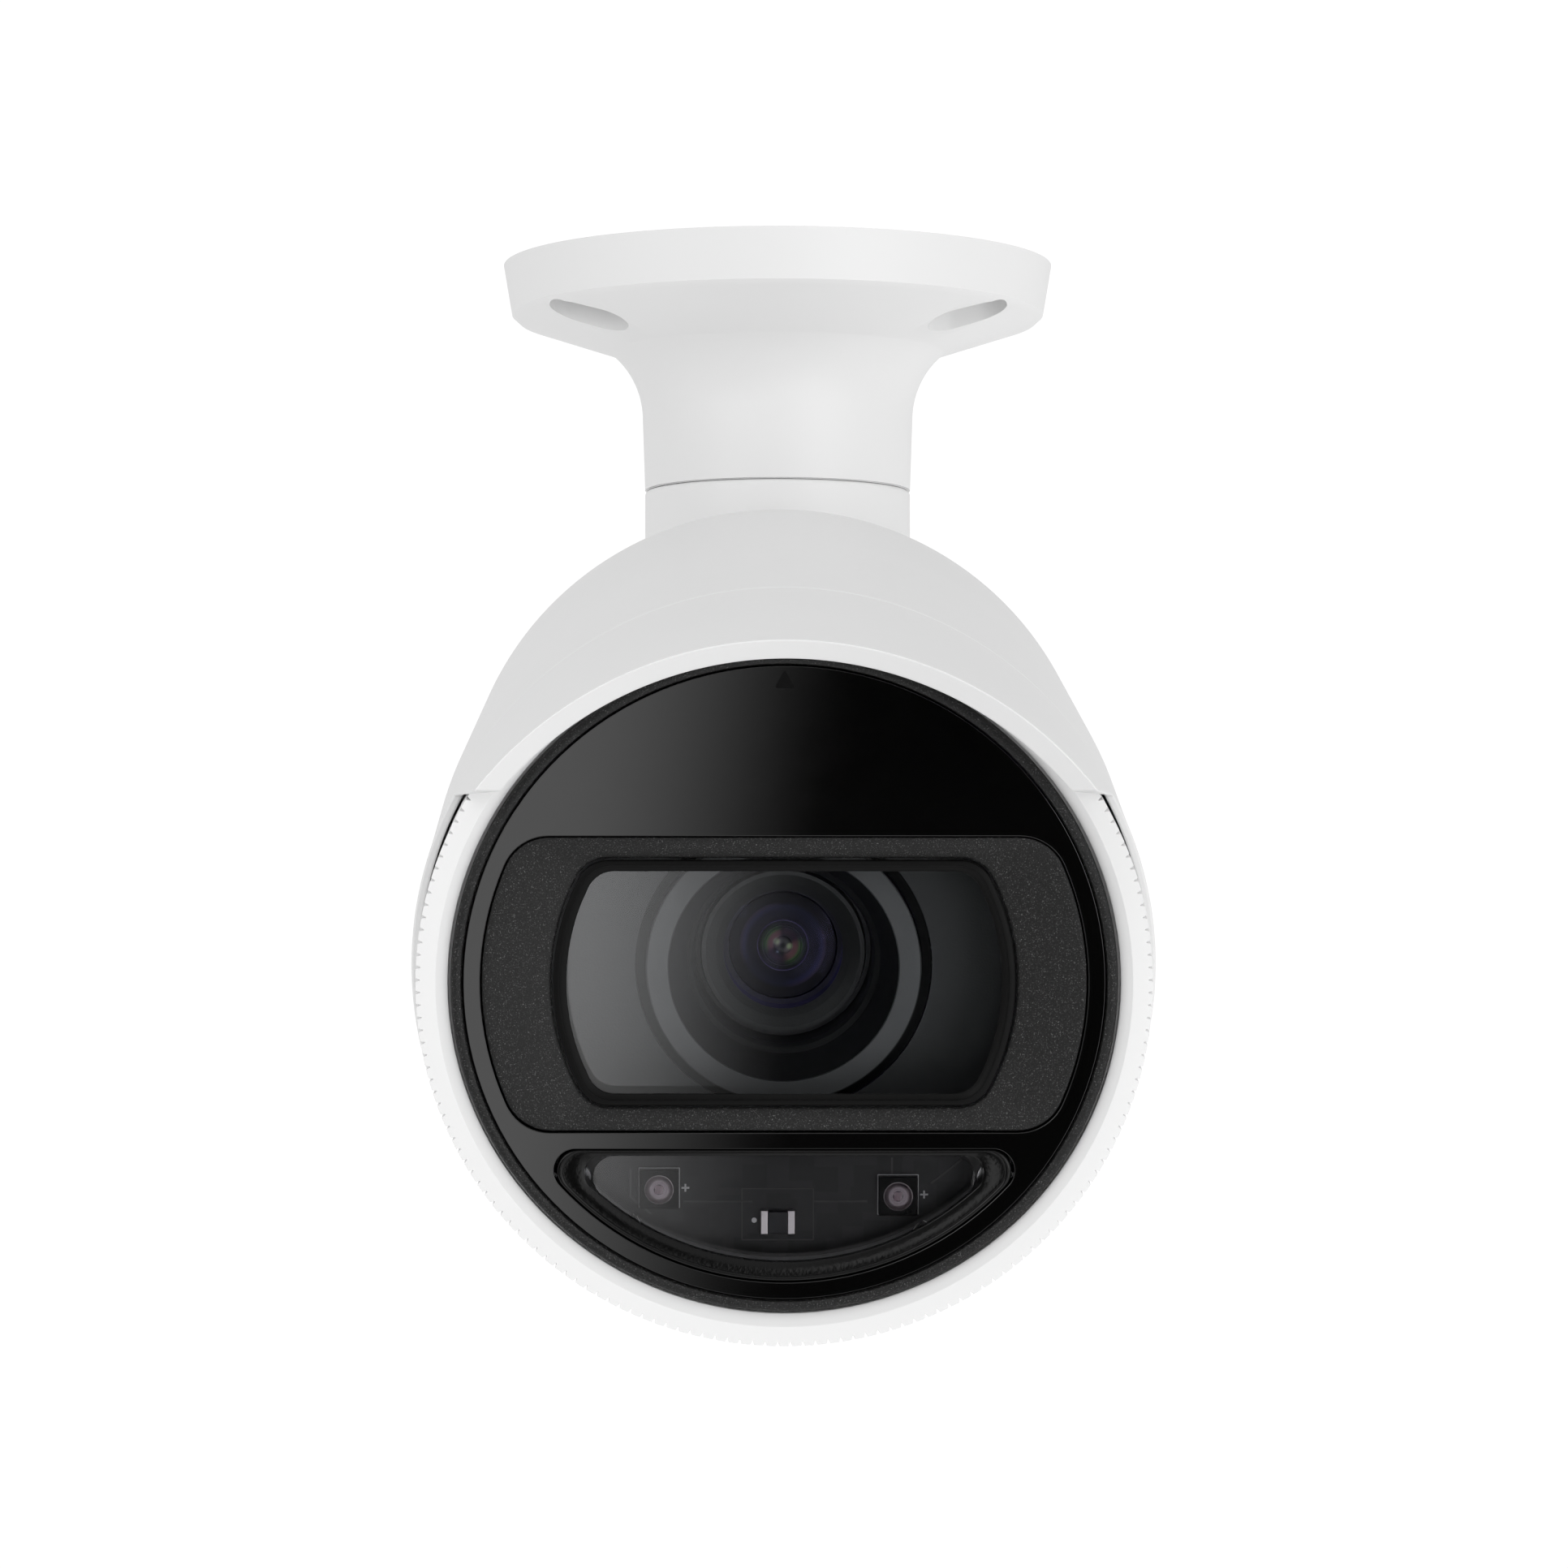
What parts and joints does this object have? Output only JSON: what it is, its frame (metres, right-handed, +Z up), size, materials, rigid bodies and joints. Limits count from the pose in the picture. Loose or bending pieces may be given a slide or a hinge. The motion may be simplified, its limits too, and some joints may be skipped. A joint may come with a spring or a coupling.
{
  "type": "security camera",
  "caption": "Bullet security camera with a sunshield hood, a knurled front ring, a lens window and a jointed ceiling mount that pans, tilts and turns.",
  "frame": {"origin": "centre of the mounting flange's ceiling face", "axes": "+Z up out of the ceiling face, camera looks towards -Y, +X to its left"},
  "size_m": [0.0878, 0.225, 0.1447],
  "materials": {
    "white_plastic": "satin white coating",
    "white_ring": "satin white coating, knurled edge",
    "gloss_black": "mirror gloss",
    "grained_black": "fine sparkle grain",
    "rubber_black": "matte",
    "clear_window": "clear coated glass",
    "infrared_window": "smoked clear glass",
    "lens_glass": "multi-coated glass",
    "filter_glass": "coated filter glass",
    "lens_grey": "fine matte moulding",
    "inner_plastic": "plain moulding",
    "board": "black solder mask",
    "chip": "moulded package",
    "led": "clear lens on a pale package",
    "steel": "bright plated",
    "aluminium": "bare"
  },
  "bodies": {
    "mount": {"mount_base": "white_plastic", "pan_lock_screw": "steel"},
    "knuckle": {"pan_knuckle": "white_plastic", "pan_washer": "steel", "pan_nut": "steel", "tilt_bolt": "steel", "tilt_nut": "steel"},
    "swivel": {"swivel_hub": "white_plastic", "swivel_washer": "steel", "swivel_nut": "steel"},
    "head": {"housing_shell": "white_plastic", "service_hatch": "white_plastic", "hatch_screws": "steel", "rear_plate": "white_plastic", "rear_plate_screws": "steel", "swivel_seal": "rubber_black", "front_hood": "white_plastic", "front_trim_ring": "grained_black", "face_plate": "gloss_black", "face_seal": "rubber_black", "lens_frame": "grained_black", "lens_window": "clear_window", "window_gasket": "rubber_black", "infrared_rim": "grained_black", "infrared_window": "infrared_window", "infrared_board": "board", "infrared_board_screws": "steel", "infrared_led_left": "led", "infrared_led_right": "led", "light_sensor": "chip", "light_shield": "rubber_black", "lens_barrel": "lens_grey", "lens_cover_plate": "lens_grey", "focus_motor": "steel", "zoom_motor": "steel", "filter_holder": "inner_plastic", "image_sensor": "chip", "sensor_board": "board", "sensor_standoffs": "steel", "chassis_plate": "aluminium", "main_board": "board", "board_spacers": "steel", "processor": "chip", "heat_sink": "aluminium", "card_socket": "steel", "memory_card": "inner_plastic", "reset_switch": "inner_plastic"},
    "ring_carrier": {"ring_slip_washer": "white_ring"},
    "ring": {"front_ring": "white_ring"},
    "focus_ring": {"focus_gear": "inner_plastic"},
    "focus_group": {"focus_cell": "lens_grey", "focus_lens": "lens_glass"},
    "focus_drive": {"focus_pinion": "inner_plastic"},
    "zoom_ring": {"zoom_gear": "inner_plastic"},
    "zoom_group": {"zoom_cell": "lens_grey", "zoom_lens": "lens_glass"},
    "zoom_drive": {"zoom_pinion": "inner_plastic"},
    "filter": {"filter_slider": "inner_plastic", "filter_glass": "filter_glass"},
    "button": {"reset_button": "inner_plastic"}
  },
  "joints": [
    {"name": "pan", "type": "hinge", "parent": "mount", "child": "knuckle", "pos_m": [0, 0, -0.03], "axis": [0, 0, 1], "range_deg": [-175, 175]},
    {"name": "tilt", "type": "hinge", "parent": "knuckle", "child": "swivel", "pos_m": [0, 0, -0.0769], "axis": [1, 0, 0], "range_deg": [-10, 75]},
    {"name": "head_rotate", "type": "hinge", "parent": "swivel", "child": "head", "pos_m": [0, -0.03249, -0.08269], "axis": [0, 0.9845, 0.1754], "range_deg": [-175, 175]},
    {"name": "ring_travel", "type": "slide", "parent": "head", "child": "ring_carrier", "axis": [0, -0.9845, -0.1754], "range_m": [0, 0.003]},
    {"name": "ring_turn", "type": "hinge", "parent": "ring_carrier", "child": "ring", "pos_m": [0, -0.14571, -0.10285], "axis": [0, -0.9845, -0.1754], "range_deg": [0, 720]},
    {"name": "focus_turn", "type": "hinge", "parent": "head", "child": "focus_ring", "pos_m": [0, -0.11519, -0.09742], "axis": [0, -0.9845, -0.1754], "range_deg": [0, 90]},
    {"name": "focus_travel", "type": "slide", "parent": "head", "child": "focus_group", "axis": [0, 0.9845, 0.1754], "range_m": [0, 0.003]},
    {"name": "focus_drive_turn", "type": "hinge", "parent": "head", "child": "focus_drive", "pos_m": [0.01395, -0.11227, -0.11378], "axis": [0, -0.9845, -0.1754], "range_deg": [-450, 0]},
    {"name": "zoom_turn", "type": "hinge", "parent": "head", "child": "zoom_ring", "pos_m": [0, -0.1014, -0.09496], "axis": [0, -0.9845, -0.1754], "range_deg": [0, 90]},
    {"name": "zoom_travel", "type": "slide", "parent": "head", "child": "zoom_group", "axis": [0, 0.9845, 0.1754], "range_m": [0, 0.006]},
    {"name": "zoom_drive_turn", "type": "hinge", "parent": "head", "child": "zoom_drive", "pos_m": [-0.01395, -0.09849, -0.11133], "axis": [0, -0.9845, -0.1754], "range_deg": [-450, 0]},
    {"name": "filter_shift", "type": "slide", "parent": "head", "child": "filter", "axis": [1, 0, 0], "range_m": [0, 0.0078]},
    {"name": "reset_press", "type": "slide", "parent": "head", "child": "button", "axis": [0, -0.1754, 0.9845], "range_m": [0, 0.0005], "stiffness_N_per_m": 2000}
  ],
  "couplings": [
    {"joint": "ring_travel", "follows": "ring_turn", "m_per_rad": 0.00023873},
    {"joint": "focus_travel", "follows": "focus_turn", "m_per_rad": 0.0019099},
    {"joint": "focus_drive_turn", "follows": "focus_turn", "ratio": -5},
    {"joint": "zoom_travel", "follows": "zoom_turn", "m_per_rad": 0.0038197},
    {"joint": "zoom_drive_turn", "follows": "zoom_turn", "ratio": -5}
  ]
}
